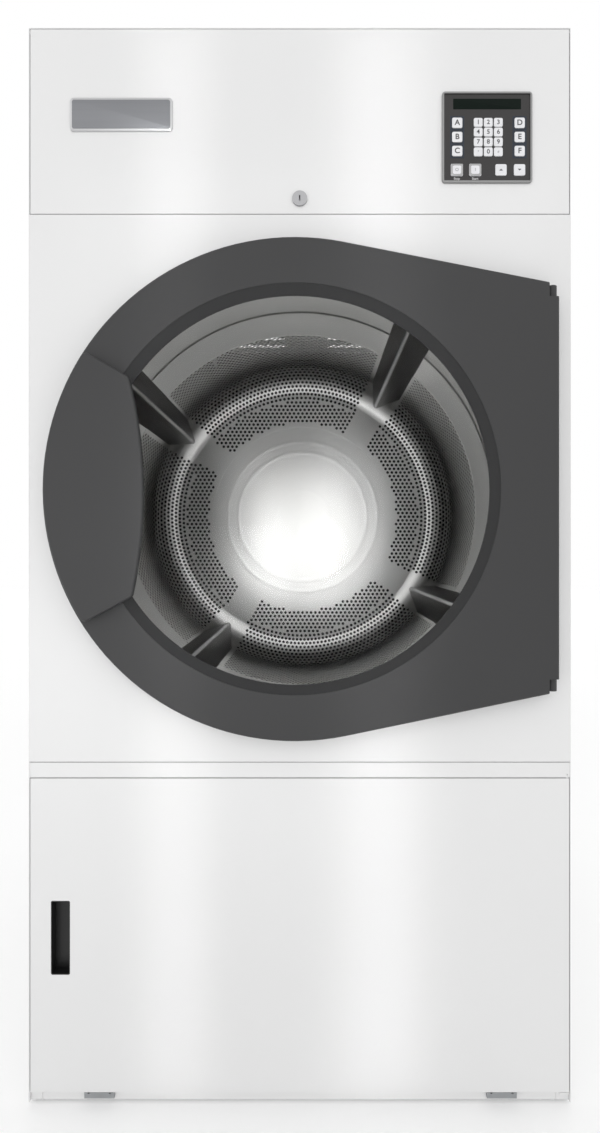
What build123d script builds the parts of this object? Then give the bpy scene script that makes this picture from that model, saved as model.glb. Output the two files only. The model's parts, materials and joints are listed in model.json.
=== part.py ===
"""Commercial tumble dryer: a single-pocket, front-loading cabinet on levelling feet.

Frame: origin on the floor under the middle of the cabinet, X to the right, Y to the rear, Z up.
The front face looks along -Y. Every length is in millimetres.
"""
from build123d import *
import math
import os

# ---- cabinet --------------------------------------------------------------------------------
cabinet_width = 978.0
cabinet_depth = 1190.0
cabinet_height = 1943.0
sheet = 1.5               # painted steel sheet of the casing
top_sheet = 1.5
seam = 1.5                # gap between neighbouring front panels
foot_gap = 4.0            # underside of the base frame above the floor
plinth_top = 21.0
plinth_recess = 6.0       # base strip set back behind the front face
rail_bottom = 590.0       # cross strip between the lower door and the front panel
rail_top = 617.0
control_bottom = 1607.5   # lower edge of the tilting control panel
flange = 12.0             # folded edges of the casing panels
pivot_inset = 3.0         # hinge pins of the two opening panels behind their faces
control_pin_radius = 1.5
lower_pin_radius = 2.0
base_wall = 3.0
groove_x = (-466.0, 464.0)  # saw marks at the ends of the base strip
foot_inset = 70.0
foot_pad = 24.0
foot_stem = 6.0
tab_x = (-362.0, 365.0)   # locking tabs under the lower door
tab_half = 27.0
tab_bottom = 10.5
louvre_rows = 8
louvre_pitch = 28.0
louvre_height = 9.0
louvre_bottom = 1620.0
louvre_middle = 190.0     # each column of louvres from the middle of the rear panel
louvre_half = 110.0

# ---- drum and loading door ------------------------------------------------------------------
drum_x = -8.0             # the door, the opening and the drum share this centre
drum_z = 1107.0
drum_radius = 465.0
drum_length = 764.0
drum_sheet = 1.5
drum_setback = 88.0       # front rim of the drum behind the front face
drum_corner = 77.0        # inside radius where the wall turns into the back
drum_lip = 22.0
rib_count = 4
rib_first_angle = 56.0
rib_height = 66.0
rib_base_half = 50.0
rib_crest_half = 4.0
rib_front_gap = 26.0
opening_radius = 398.5    # door opening in the front panel
door_radius = 440.0
door_proud = 40.0         # front of the door ring ahead of the front face
door_back_gap = 4.0
door_edge_x = 453.5       # straight hinge side of the door
door_edge_half = 356.0
window_radius = 346.0
window_lip_radius = 359.0
glass_thickness = 6.0
glass_back = 14.0         # front of the glass ahead of the front face
catch_reach = 428.0       # middle of the door catch from the middle of the door
handle_plate = 10.0
handle_standoff = 12.0
hinge_block_width = 17.0
hinge_block_height = 21.5
hinge_pin_radius = 4.0
hinge_axis_ahead = 24.0   # door hinge axis ahead of the front face
hinge_rise = 2.0          # middle of the hinge side above the middle of the drum

# ---- drive and air path ---------------------------------------------------------------------
drive_shaft_radius = 20.0
drum_pulley_radius = 280.0
idler_large_radius = 150.0
idler_small_radius = 38.0
idler_shaft_radius = 12.0
motor_pulley_radius = 40.0
pulley_width = 24.0
belt_thickness = 6.0
drum_belt_back = 90.0     # belts ahead of the rear face
motor_belt_back = 45.0
blower_depth = 86.0
motor_start = 205.0       # front of the motor ahead of the rear face
idler_x = -150.0
idler_z = 620.0
motor_x = -120.0
motor_z = 270.0
motor_radius = 82.0
rotor_radius = 9.5
fan_radius = 138.0
scroll_radius = 165.0
exhaust_radius = 101.6
exhaust_x = 270.0
exhaust_z = 300.0
exhaust_reach = 62.0      # collar behind the rear panel
exhaust_shoulder = 2.0    # the duct slides on as far as this raised shoulder

inlet_radius = 14.0       # gland hole for the supply
inlet_x = -380.0
inlet_z = 1500.0

# ---- controls -------------------------------------------------------------------------------
keypad_width = 162.5
keypad_height = 164.0
keypad_x = 337.3
keypad_z = 1743.5
keypad_proud = 4.0
keypad_face_back = 1.5    # printed face set back inside the bezel
keypad_border = 3.8
keypad_corner = 6.0
key_proud = 1.4
key_length = 7.0
key_travel = 0.8
side_key = 18.5
number_key = 15.9
arrow_key = 20.4
command_key = 22.0
side_key_x = (-53.9, 58.4)
side_key_z = (25.6, 0.2, -25.0)
number_x = (-16.2, 1.9, 20.0)
number_z = (26.4, 9.0, -8.8, -26.5)
bottom_row_z = -59.0
display_z = 60.0
lock_radius = 11.0
lock_z = 1634.0

# ---- lower door and lint drawer -------------------------------------------------------------
lower_flange = 20.0
cup_x = -431.7
cup_z = 301.0
cup_width = 34.5
cup_height = 133.5
cup_depth = 20.0
drawer_half_width = drum_radius - 65.0
drawer_length = 550.0
drawer_front_gap = 45.0
drawer_bottom = 512.0
drawer_height = 60.0
drawer_sheet = 1.2

# ---- fits -----------------------------------------------------------------------------------
running = 0.05            # radial clearance of a shaft that turns
pivot_gap = 0.1           # radial clearance of a hinge pin
key_gap = 0.3
loose = 0.5
belt_gap = 0.3
seat = 0.3                # gasket to front panel, drum to seal

front = -cabinet_depth / 2
rear = cabinet_depth / 2
half_width = cabinet_width / 2
inner_half = half_width - sheet
panel_half = inner_half - seam
drum_front = front + drum_setback
drum_rear = drum_front + drum_length
bulkhead = drum_rear + 28.0
bulkhead_sheet = 2.0
bulkhead_back = bulkhead + bulkhead_sheet
cover_under = cabinet_height - top_sheet
lower_pivot_x = panel_half - pivot_inset
lower_pivot_y = front + pivot_inset
control_top = cover_under - seam
control_pivot_y = front + pivot_inset
control_pivot_z = control_top - pivot_inset
drum_belt_y = rear - drum_belt_back
motor_belt_y = rear - motor_belt_back
door_front = front - door_proud
door_back = front - door_back_gap
glass_front = front - glass_back
catch_x = drum_x - catch_reach
hinge_x = door_edge_x - hinge_block_width / 2
hinge_y = front - hinge_axis_ahead
hinge_mid_z = drum_z + hinge_rise
keypad_face = front - keypad_proud + keypad_face_back
key_front = keypad_face - key_proud


def block(x0, x1, y0, y1, z0, z1):
    """A box between two opposite corners."""
    middle = Pos((x0 + x1) / 2, (y0 + y1) / 2, (z0 + z1) / 2)
    return middle * Box(abs(x1 - x0), abs(y1 - y0), abs(z1 - z0))


def rod_y(radius, x, z, y0, y1):
    return Pos(x, (y0 + y1) / 2, z) * Rot(90, 0, 0) * Cylinder(radius, abs(y1 - y0))


def rod_x(radius, y, z, x0, x1):
    return Pos((x0 + x1) / 2, y, z) * Rot(0, 90, 0) * Cylinder(radius, abs(x1 - x0))


def rod_z(radius, x, y, z0, z1):
    return Pos(x, y, (z0 + z1) / 2) * Cylinder(radius, abs(z1 - z0))


def slab(outline, y0, y1):
    """A flat outline in X and Z, given thickness from y0 back to y1."""
    return extrude(Plane.XZ.offset(-y1) * outline, y1 - y0)


def turned(points, x, z):
    """A ring or cup turned about the Y direction through (x, z), from radius and y pairs."""
    profile = make_face(Polyline(*points, close=True))
    return Pos(x, 0, z) * revolve(profile, Axis.Y, 360)


def tray(x0, x1, y0, y1, z0, z1, wall, *open_sides):
    """A sheet-metal box with the named sides left open."""
    inner = {"x0": x0 + wall, "x1": x1 - wall, "y0": y0 + wall, "y1": y1 - wall, "z0": z0 + wall, "z1": z1 - wall}
    for side in open_sides:
        inner[side] += (-2 if side.endswith("0") else 2) * wall
    return block(x0, x1, y0, y1, z0, z1) - block(*[inner[k] for k in ("x0", "x1", "y0", "y1", "z0", "z1")])


def save(name, *solids):
    shape = solids[0] if len(solids) == 1 else Compound(children=list(solids))
    export_step(shape, f"parts/{name}.step")


# ---- casing ---------------------------------------------------------------------------------
def make_base_frame():
    """A shallow channel under the cabinet, with an ear that carries the lower door's pin."""
    y0 = front + plinth_recess
    y1 = rear - sheet
    frame = block(-inner_half, inner_half, y0, y1, foot_gap, plinth_top)
    frame -= block(-inner_half + base_wall, inner_half - base_wall, y0 + base_wall, y1 - base_wall,
                   0, plinth_top - base_wall)
    for x in groove_x:
        frame -= block(x - 0.8, x + 0.8, y0 - 1, y0 + 1.2, 0, plinth_top + 1)
    for x in (-1, 1):
        for y in (front + foot_inset, rear - foot_inset):
            frame -= rod_z(foot_stem + loose, x * (half_width - foot_inset), y, 10, plinth_top + 5)
    frame += block(lower_pivot_x - 14, lower_pivot_x + 2.9, front + 0.5, y0, plinth_top - base_wall, plinth_top)
    return frame - rod_z(lower_pin_radius + pivot_gap, lower_pivot_x, lower_pivot_y, 10, plinth_top + 5)


def make_feet():
    feet = []
    for x in (-1, 1):
        for y in (front + foot_inset, rear - foot_inset):
            pad = rod_z(foot_pad, x * (half_width - foot_inset), y, 0, 9)
            pad = fillet(pad.edges().sort_by(Axis.Z)[-1], 3)
            feet.append(pad + rod_z(foot_stem, x * (half_width - foot_inset), y, 8, 46))
    return feet


def make_tabs():
    tabs = []
    for x in tab_x:
        tab = block(x - tab_half, x + tab_half, front + 1, front + plinth_recess, tab_bottom, plinth_top)
        for notch in (x - 19, x + 19):
            tab -= block(notch - 2, notch + 2, front, front + 10, plinth_top - 2.5, plinth_top + 1)
        tabs.append(tab)
    return tabs


def make_side_panel(side):
    outer = side * half_width
    inner = side * inner_half
    panel = block(outer, inner, front, rear, foot_gap, cover_under)
    panel += block(inner, inner - side * flange, rear - 2 * sheet, rear - sheet, plinth_top, cover_under)
    panel -= rod_x(control_pin_radius + pivot_gap, control_pivot_y, control_pivot_z, side * (inner_half - 1),
                   side * (half_width - 0.3))
    return panel


def make_rear_panel():
    panel = block(-inner_half, inner_half, rear - sheet, rear, plinth_top, cover_under)
    panel -= rod_y(exhaust_radius + exhaust_shoulder + loose, exhaust_x, exhaust_z, rear - 10, rear + 10)
    panel -= rod_y(inlet_radius, inlet_x, inlet_z, rear - 10, rear + 10)
    for column in (-1, 1):
        x = column * louvre_middle
        for row in range(louvre_rows):
            z = louvre_bottom + louvre_pitch * row
            panel -= block(x - louvre_half, x + louvre_half, rear - 10, rear + 10, z, z + louvre_height)
    return panel


def make_top_cover():
    return block(-half_width, half_width, front, rear, cover_under, cabinet_height)


def make_front_panel():
    z0 = rail_top + seam
    z1 = control_bottom - seam
    panel = block(-inner_half, inner_half, front, front + sheet, z0, z1)
    panel += block(-inner_half, inner_half, front, front + flange, z0, z0 + sheet)
    panel += block(-inner_half, inner_half, front, front + flange, z1 - sheet, z1)
    panel -= rod_y(opening_radius, drum_x, drum_z, front - 5, front + 10)
    panel -= block(catch_x - 9, catch_x + 9, front - 5, front + 10, drum_z - 20, drum_z + 20)
    return panel


def make_front_rail():
    y0 = front + 1.0
    rail = block(-inner_half, inner_half, y0, y0 + sheet, rail_bottom, rail_top)
    rail += block(-inner_half, inner_half, y0, y0 + 25, rail_top - sheet, rail_top)
    rail += block(-inner_half, inner_half, y0, y0 + 25, rail_bottom, rail_bottom + sheet)
    rail -= rod_z(lower_pin_radius + pivot_gap, lower_pivot_x, lower_pivot_y, rail_bottom - 5, rail_bottom + 6)
    return rail


def make_control_tray():
    y0 = front + 24
    y1 = front + 330
    return tray(-inner_half, inner_half, y0, y1, control_bottom + 4, cover_under - 2, sheet, "y0", "z1", "x0", "x1")


def make_door_collar():
    """The loading ring: front flange, tube through the cabinet front, and the plate ahead of the drum."""
    y0 = front + sheet
    y1 = drum_front - 8
    inside = opening_radius - 2 - sheet
    points = [
        (inside, front), (inside + sheet, front), (inside + sheet, y0), (opening_radius + 9, y0),
        (opening_radius + 9, y0 + sheet), (inside + sheet, y0 + sheet), (inside + sheet, y1 - sheet),
        (drum_radius + 5, y1 - sheet), (drum_radius + 5, y1), (inside, y1),
    ]
    return turned(points, drum_x, drum_z)


def make_drum_shroud():
    """An arch over the drum whose straight sides end in the rails of the lint drawer."""
    inside = drum_radius + 7
    y0 = drum_front - 4
    bottom = drawer_bottom - 2
    rail_reach = drum_radius + 7 - drawer_half_width + 14
    arch = Circle(inside + sheet) + Pos(0, (bottom - drum_z) / 2) * Rectangle(2 * (inside + sheet), drum_z - bottom)
    hollow = Circle(inside) + Pos(0, (bottom - drum_z) / 2) * Rectangle(2 * inside, drum_z - bottom)
    shell = slab(Pos(drum_x, drum_z) * (arch - hollow), y0, bulkhead)
    for side in (-1, 1):
        x = drum_x + side * (inside + sheet / 2)
        shell += block(x, x - side * rail_reach, y0, bulkhead, bottom - sheet, bottom)
        shell += block(x, x - side * sheet / 2, y0, bulkhead, bottom - sheet, bottom + 1)
    shell -= block(drum_x - 260, drum_x + 260, -60, 240, drum_z + 200, drum_z + inside + 10)
    return shell


def make_rear_bulkhead():
    plate = block(-inner_half, inner_half, bulkhead, bulkhead_back, plinth_top, cover_under)
    plate -= rod_y(drive_shaft_radius + 6, drum_x, drum_z, bulkhead - 5, bulkhead_back + 5)
    plate -= rod_y(fan_radius * 0.66, motor_x, motor_z, bulkhead - 5, bulkhead_back + 5)
    plate -= block(-240, 240, bulkhead - 5, bulkhead_back + 5, 1640, 1830)
    return plate


# ---- drive ----------------------------------------------------------------------------------
def pulley(radius, hub_radius, bore, middle_y, x, z):
    """A flat-belt wheel with a rim, a web and a hub."""
    y0 = middle_y - pulley_width / 2
    y1 = middle_y + pulley_width / 2
    web = 5.0
    rim = 8.0
    if radius - rim < hub_radius + 12:
        return rod_y(radius, x, z, y0, y1) - rod_y(bore, x, z, y0 - 1, y1 + 1)
    points = [
        (bore, y0), (hub_radius, y0), (hub_radius, middle_y - web / 2), (radius - rim, middle_y - web / 2),
        (radius - rim, y0), (radius, y0), (radius, y1), (radius - rim, y1), (radius - rim, middle_y + web / 2),
        (hub_radius, middle_y + web / 2), (hub_radius, y1), (bore, y1),
    ]
    return turned(points, x, z)


def make_bearing_housings():
    half = 150.0
    hub = rod_y(58, drum_x, drum_z, bulkhead_back, bulkhead_back + 150)
    hub += block(drum_x - half, drum_x + half, bulkhead_back, bulkhead_back + 8, drum_z - half, drum_z + half)
    for angle in (45, 135, 225, 315):
        gusset = block(-5, 5, bulkhead_back + 8, bulkhead_back + 110, 50, 150)
        hub += Pos(drum_x, 0, drum_z) * Rot(0, angle, 0) * gusset
    hub -= rod_y(drive_shaft_radius, drum_x, drum_z, bulkhead_back - 5, bulkhead_back + 155)
    idler = rod_y(26, idler_x, idler_z, bulkhead_back, bulkhead_back + 170)
    idler += block(idler_x - 70, idler_x + 70, bulkhead_back, bulkhead_back + 6, idler_z - 70, idler_z + 70)
    idler -= rod_y(idler_shaft_radius, idler_x, idler_z, bulkhead_back - 5, bulkhead_back + 175)
    return [hub, idler]


def make_drum_shaft():
    """The shaft with the four-armed spider that carries the back of the drum."""
    shaft_end = drum_belt_y + pulley_width / 2 + 10
    shaft = rod_y(drive_shaft_radius - running, drum_x, drum_z, drum_rear + 10, shaft_end)
    shaft += rod_y(48, drum_x, drum_z, drum_rear, drum_rear + 20)
    for rib in range(rib_count):
        arm = block(-28, 28, drum_rear, drum_rear + 8, 30, drum_radius - drum_corner - 6)
        shaft += Pos(drum_x, 0, drum_z) * Rot(0, 90 - rib_first_angle - 90 * rib, 0) * arm
    return shaft


def make_idler():
    end = motor_belt_y + pulley_width / 2 + 4
    shaft = rod_y(idler_shaft_radius - running, idler_x, idler_z, bulkhead_back + 10, end)
    large = pulley(idler_large_radius, 30, idler_shaft_radius - 0.5, motor_belt_y, idler_x, idler_z)
    small = pulley(idler_small_radius, 30, idler_shaft_radius - 0.5, drum_belt_y, idler_x, idler_z)
    return shaft + large + small


def belt(x0, z0, r0, x1, z1, r1, middle_y):
    """A flat belt around two wheels, as the hull of two circles less the hull of the wheels."""
    outline = []
    for grow in (belt_gap + belt_thickness, belt_gap):
        circles = [Pos(x0, z0) * Circle(r0 + grow).edge(), Pos(x1, z1) * Circle(r1 + grow).edge()]
        outline.append(make_hull(circles))
    return slab(outline[0] - outline[1], middle_y - pulley_width / 2 + 3, middle_y + pulley_width / 2 - 3)


def make_motor():
    y0 = rear - motor_start
    y1 = motor_belt_y - pulley_width / 2 - 8
    body = rod_y(motor_radius, motor_x, motor_z, y0 + 12, y1 - 12)
    body += rod_y(motor_radius - 14, motor_x, motor_z, y0, y1)
    for k in range(18):
        fin = block(-1.5, 1.5, y0 + 24, y1 - 24, motor_radius - 2, motor_radius + 7)
        body += Pos(motor_x, 0, motor_z) * Rot(0, 20 * k, 0) * fin
    body += block(motor_x - 70, motor_x + 70, y0 + 30, y1 - 30, plinth_top, motor_z - motor_radius + 20)
    body -= rod_y(rotor_radius + running, motor_x, motor_z, y0 - 5, y1 + 5)
    return body


def make_motor_pulley():
    end = motor_belt_y + pulley_width / 2 + 4
    shaft = rod_y(rotor_radius, motor_x, motor_z, bulkhead_back + 14, end)
    return shaft + pulley(motor_pulley_radius, 30, rotor_radius - 0.5, motor_belt_y, motor_x, motor_z)


def make_fan_wheel():
    y0 = bulkhead_back + 12
    y1 = y0 + 62
    eye = fan_radius * 0.62
    wheel = rod_y(fan_radius, motor_x, motor_z, y1 - 3, y1) + rod_y(22, motor_x, motor_z, y1 - 30, y1)
    wheel += rod_y(fan_radius, motor_x, motor_z, y0, y0 + 3) - rod_y(eye, motor_x, motor_z, y0 - 1, y0 + 4)
    for k in range(12):
        blade = block(-1, 1, y0 + 1, y1 - 1, eye, fan_radius - 2)
        wheel += Pos(motor_x, 0, motor_z) * Rot(0, 30 * k, 0) * Pos(-14, 0, 0) * blade
    wheel -= rod_y(rotor_radius, motor_x, motor_z, y0 - 1, y1 + 1)
    return wheel


def make_blower_housing():
    """Scroll behind the bulkhead, a square duct beside it and the round exhaust collar."""
    y0 = bulkhead_back
    y1 = y0 + blower_depth
    duct_half = exhaust_radius + 18
    duct_end = rear - 35
    scroll = rod_y(scroll_radius, motor_x, motor_z, y0, y1)
    throat = block(motor_x, exhaust_x - duct_half + 5, y0, y1, motor_z + 60, motor_z + scroll_radius)
    duct = block(exhaust_x - duct_half, exhaust_x + duct_half, y0, duct_end, exhaust_z - duct_half,
                 exhaust_z + duct_half + 15)
    collar = rod_y(exhaust_radius, exhaust_x, exhaust_z, duct_end, rear + exhaust_reach)
    collar += rod_y(exhaust_radius + exhaust_shoulder, exhaust_x, exhaust_z, duct_end, rear + exhaust_shoulder)
    solid = scroll + throat + duct + collar
    cavity = rod_y(scroll_radius - sheet, motor_x, motor_z, y0 - 5, y1 - sheet)
    cavity += block(motor_x, exhaust_x - duct_half + 10, y0 + sheet, y1 - sheet, motor_z + 60 + sheet,
                    motor_z + scroll_radius - sheet)
    cavity += block(exhaust_x - duct_half + sheet, exhaust_x + duct_half - sheet, y0 + sheet, duct_end - sheet,
                    exhaust_z - duct_half + sheet, exhaust_z + duct_half + 15 - sheet)
    cavity += rod_y(exhaust_radius - sheet, exhaust_x, exhaust_z, duct_end - 5, rear + exhaust_reach + 5)
    solid -= cavity
    solid -= rod_y(rotor_radius + 5, motor_x, motor_z, y1 - 10, y1 + 10)
    return solid


def make_heater_box():
    return tray(drum_x - 280, drum_x + 280, -80, bulkhead, drum_z + drum_radius + 14, 1850, sheet, "z0", "y1")


# ---- loading door ---------------------------------------------------------------------------
def make_door_ring():
    edge = Pos(door_edge_x - 5 - drum_x, hinge_mid_z - drum_z) * Rectangle(10, 2 * door_edge_half)
    outline = make_hull([Circle(door_radius).edge()] + list(edge.edges()))
    ring = slab(Pos(drum_x, drum_z) * outline, door_front, door_back)
    front_rim = ring.faces().sort_by(Axis.Y)[0].edges()
    ring = fillet(front_rim, 5)
    for end in (-1, 1):
        z_in = hinge_mid_z + end * (door_edge_half - hinge_block_height - 1)
        z_out = hinge_mid_z + end * (door_edge_half + 20)
        ring -= block(door_edge_x - hinge_block_width - 1, door_edge_x + 5, door_front - 1, door_back + 1, z_in, z_out)
        ring -= rod_z(hinge_pin_radius + pivot_gap, hinge_x, hinge_y, z_in + end, z_in - end * 26)
    bore = [
        (0, door_front - 1), (window_lip_radius, door_front - 1), (window_lip_radius, door_front + 2),
        (window_radius, glass_front - 4), (window_radius, glass_front),
        (window_radius + 8, glass_front), (window_radius + 8, door_back + 1), (0, door_back + 1),
    ]
    ring -= turned(bore, drum_x, drum_z)
    pocket = [
        (window_radius + 16, door_front + 8), (opening_radius - 6, door_front + 8),
        (opening_radius - 6, door_back + 1), (window_radius + 16, door_back + 1),
    ]
    return ring - turned(pocket, drum_x, drum_z)


def make_glass():
    disc = rod_y(window_radius + 7.5, drum_x, drum_z, glass_front, glass_front + glass_thickness)
    return chamfer(disc.edges(), 0.8)


def make_gasket():
    inside = opening_radius + 2
    points = [
        (inside, door_back), (inside + 16, door_back), (inside + 13, front - seat), (inside + 3, front - seat),
    ]
    return turned(points, drum_x, drum_z)


def make_handle():
    """A raised plate along the free side of the door, gripped behind its inner edge."""
    arc_radius = door_radius - 11
    top = math.radians(147.0)
    bottom = math.radians(212.6)
    upper = (drum_x + arc_radius * math.cos(top), drum_z + arc_radius * math.sin(top))
    lower = (drum_x + arc_radius * math.cos(bottom), drum_z + arc_radius * math.sin(bottom))
    side = (drum_x - arc_radius, drum_z)
    inner_upper = (-291.0, 1297.0)
    inner_middle = (-266.0, 1108.0)
    inner_lower = (-285.0, 921.0)
    rim = ThreePointArc(upper, side, lower) + Line(lower, inner_lower)
    rim += ThreePointArc(inner_lower, inner_middle, inner_upper) + Line(inner_upper, upper)
    outline = make_face(rim)
    plate_front = door_front - handle_standoff - handle_plate
    plate = slab(outline, plate_front, door_front - handle_standoff)
    plate = fillet(plate.edges().filter_by(Axis.Y), 9)
    plate = fillet(plate.faces().sort_by(Axis.Y)[0].edges(), 4)
    foot = slab(outline, door_front - handle_standoff, door_front)
    foot -= rod_y(window_lip_radius + 12, drum_x, drum_z, door_front - 40, door_front + 5)
    foot &= rod_y(arc_radius - 6, drum_x, drum_z, door_front - 40, door_front + 5)
    foot &= block(-500, 0, door_front - 40, door_front + 5, drum_z - 214, drum_z + 214)
    return plate + foot


def make_hinge_brackets():
    brackets = []
    for end in (-1, 1):
        z_out = hinge_mid_z + end * door_edge_half
        z_in = z_out - end * hinge_block_height
        bracket = block(door_edge_x - hinge_block_width, door_edge_x, hinge_y, front, z_in, z_out)
        bracket += rod_z(hinge_block_width / 2, hinge_x, hinge_y, z_in, z_out)
        bracket += rod_z(hinge_pin_radius, hinge_x, hinge_y, z_in + end, z_in - end * 22)
        brackets.append(bracket)
    return brackets


def make_catch():
    body = block(catch_x - 8.5, catch_x + 8.5, front - 1, front + 30, drum_z - 19.5, drum_z + 19.5)
    return fillet(body.edges().filter_by(Axis.Y), 2)


# ---- drum -----------------------------------------------------------------------------------
def make_drum_shell():
    """The drum as one cup: rolled front lip, wall, large rear corner and flat back."""
    inner = drum_radius - drum_sheet
    back_inside = drum_rear - drum_sheet
    turn = drum_corner
    outer_turn = drum_corner + drum_sheet
    centre_y = back_inside - turn
    centre_r = inner - turn
    half = math.sqrt(0.5)
    outline = Line((0, back_inside), (centre_r, back_inside))
    outline += ThreePointArc((centre_r, back_inside), (centre_r + turn * half, centre_y + turn * half), (inner, centre_y))
    outline += Line((inner, centre_y), (inner, drum_front + drum_sheet))
    outline += Line((inner, drum_front + drum_sheet), (inner - drum_lip, drum_front + drum_sheet))
    outline += Line((inner - drum_lip, drum_front + drum_sheet), (inner - drum_lip, drum_front))
    outline += Line((inner - drum_lip, drum_front), (drum_radius, drum_front))
    outline += Line((drum_radius, drum_front), (drum_radius, centre_y))
    outline += ThreePointArc((drum_radius, centre_y), (centre_r + outer_turn * half, centre_y + outer_turn * half),
                             (centre_r, drum_rear))
    outline += Line((centre_r, drum_rear), (0, drum_rear)) + Line((0, drum_rear), (0, back_inside))
    return Pos(drum_x, 0, drum_z) * revolve(make_face(outline), Axis.Y, 360)


def make_ribs():
    """Folded sheet lifters, closed at both ends and open towards the drum wall."""
    inner = drum_radius - drum_sheet
    base = math.sqrt((inner - 0.2) ** 2 - rib_base_half ** 2)
    crest = inner - rib_height
    wall = drum_sheet
    y0 = drum_front + rib_front_gap
    y1 = drum_rear - drum_sheet - drum_corner - 4
    ribs = []
    outer = [(base, -rib_base_half), (crest, -rib_crest_half), (crest, rib_crest_half), (base, rib_base_half)]
    hollow = [
        (base + 1, -rib_base_half + 3 * wall), (crest + wall, -rib_crest_half + 0.6),
        (crest + wall, rib_crest_half - 0.6), (base + 1, rib_base_half - 3 * wall),
    ]
    rib = slab(make_face(Polyline(*outer, close=True)), y0, y1)
    rib = fillet(rib.edges().filter_by(Axis.Y).sort_by(Axis.X)[:2], 5)
    rib -= slab(make_face(Polyline(*hollow, close=True)), y0 + wall, y1 - wall)
    for k in range(rib_count):
        ribs.append(Pos(drum_x, 0, drum_z) * Rot(0, -rib_first_angle - 90 * k, 0) * rib)
    return ribs


# ---- control panel --------------------------------------------------------------------------
def make_control_panel():
    panel = block(-panel_half, panel_half, front, front + sheet, control_bottom, control_top)
    panel += block(-panel_half, panel_half, front, front + flange, control_bottom, control_bottom + sheet)
    for side in (-1, 1):
        x = side * panel_half
        panel += block(x, x - side * sheet, front, front + 2 * pivot_inset, control_bottom, control_top)
        panel += rod_x(control_pin_radius, control_pivot_y, control_pivot_z, x - side * sheet,
                       side * (inner_half + sheet * 0.6))
    w = keypad_width / 2 - keypad_border
    h = keypad_height / 2 - keypad_border
    panel -= block(keypad_x - w, keypad_x + w, front - 5, front + 5, keypad_z - h, keypad_z + h)
    panel -= rod_y(lock_radius + running, 0, lock_z, front - 5, front + 5)
    return panel


def key_places():
    """Every key: its name, its centre on the keypad and its side length."""
    places = []
    for column, names in zip(side_key_x, ("abc", "def")):
        for name, z in zip(names, side_key_z):
            places.append((f"key_{name}", column, z, side_key))
    for row, names in zip(number_z, (("1", "2", "3"), ("4", "5", "6"), ("7", "8", "9"), ("star", "0", "hash"))):
        for name, x in zip(names, number_x):
            places.append((f"key_{name}", x, row, number_key))
    for name, x, size in (
        ("stop", -54.5, command_key), ("start", -21.5, command_key), ("up", 24.8, arrow_key), ("down", 58.2, arrow_key),
    ):
        places.append((f"key_{name}", x, bottom_row_z, size))
    return places


def key_body(size, grow, y0, y1, x, z):
    """A round-cornered key, or its pocket when grown by the clearance."""
    shape = Pos(x, z) * RectangleRounded(size + 2 * grow, size + 2 * grow, 3 + grow)
    return slab(shape, y0, y1)


def make_keypad_housing():
    w = keypad_width / 2
    h = keypad_height / 2
    bezel = slab(Pos(keypad_x, keypad_z) * RectangleRounded(2 * w, 2 * h, keypad_corner),
                 front - keypad_proud, front)
    bezel = fillet(bezel.faces().sort_by(Axis.Y)[0].edges(), 1.2)
    inner_w = w - keypad_border
    inner_h = h - keypad_border
    body = block(keypad_x - inner_w + loose, keypad_x + inner_w - loose, front - 0.5, front + 16,
                 keypad_z - inner_h + loose, keypad_z + inner_h - loose)
    housing = bezel + body
    face_cut = Pos(keypad_x, keypad_z) * RectangleRounded(2 * inner_w, 2 * inner_h, keypad_corner / 2)
    housing -= slab(face_cut, front - keypad_proud - 2, keypad_face)
    housing -= block(keypad_x - 61, keypad_x + 61, keypad_face - 2, keypad_face + 1, keypad_z + display_z - 9.5,
                     keypad_z + display_z + 9.5)
    pocket_floor = key_front + key_length + key_travel + 0.6
    for name, x, z, size in key_places():
        housing -= key_body(size, key_gap, keypad_face - 2, pocket_floor, keypad_x + x, keypad_z + z)
    return housing


def make_key(x, z, size):
    key = key_body(size, 0, key_front, key_front + key_length, keypad_x + x, keypad_z + z)
    return fillet(key.faces().sort_by(Axis.Y)[0].edges(), 0.6)


def make_lock():
    """Cylinder lock with its keyway and the cam behind the panel."""
    lock = rod_y(lock_radius, 0, lock_z, front - 1, front + 18)
    lock += rod_y(lock_radius + 2.5, 0, lock_z, front - 3.5, front - 0.2)
    lock -= block(-1.2, 1.2, front - 5, front + 8, lock_z - 5, lock_z + 5)
    lock += block(-6, 34, front + 18, front + 21, lock_z - 7, lock_z + 7)
    return lock


# ---- lower door and lint drawer -------------------------------------------------------------
def make_lower_door():
    z0 = plinth_top + seam
    z1 = rail_bottom - seam
    door = block(-panel_half, panel_half, front, front + sheet, z0, z1)
    door += block(-panel_half, panel_half, front, front + lower_flange, z0, z0 + sheet)
    door += block(-panel_half, panel_half, front, front + lower_flange, z1 - sheet, z1)
    door += block(-panel_half, -panel_half + sheet, front, front + lower_flange, z0, z1)
    door += block(panel_half - sheet, panel_half, front, front + 2 * pivot_inset, z0, z1)
    slot = Pos(cup_x, cup_z) * RectangleRounded(cup_width, cup_height, 3)
    door -= slab(slot, front - 5, front + 5)
    door += rod_z(lower_pin_radius, lower_pivot_x, lower_pivot_y, z1 - sheet, rail_bottom + 4)
    door += rod_z(lower_pin_radius, lower_pivot_x, lower_pivot_y, plinth_top - 2, z0 + sheet)
    return door


def make_pull_cup():
    w = cup_width / 2 - 0.2
    h = cup_height / 2 - 0.2
    lip = slab(Pos(cup_x, cup_z) * RectangleRounded(cup_width + 10, cup_height + 10, 6), front + sheet, front + 3)
    cup = lip + slab(Pos(cup_x, cup_z) * RectangleRounded(2 * w, 2 * h, 2.8), front + 0.3, front + cup_depth)
    return cup - slab(Pos(cup_x, cup_z) * RectangleRounded(2 * w - 3, 2 * h - 3, 2), front - 2, front + cup_depth - 2)


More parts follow.
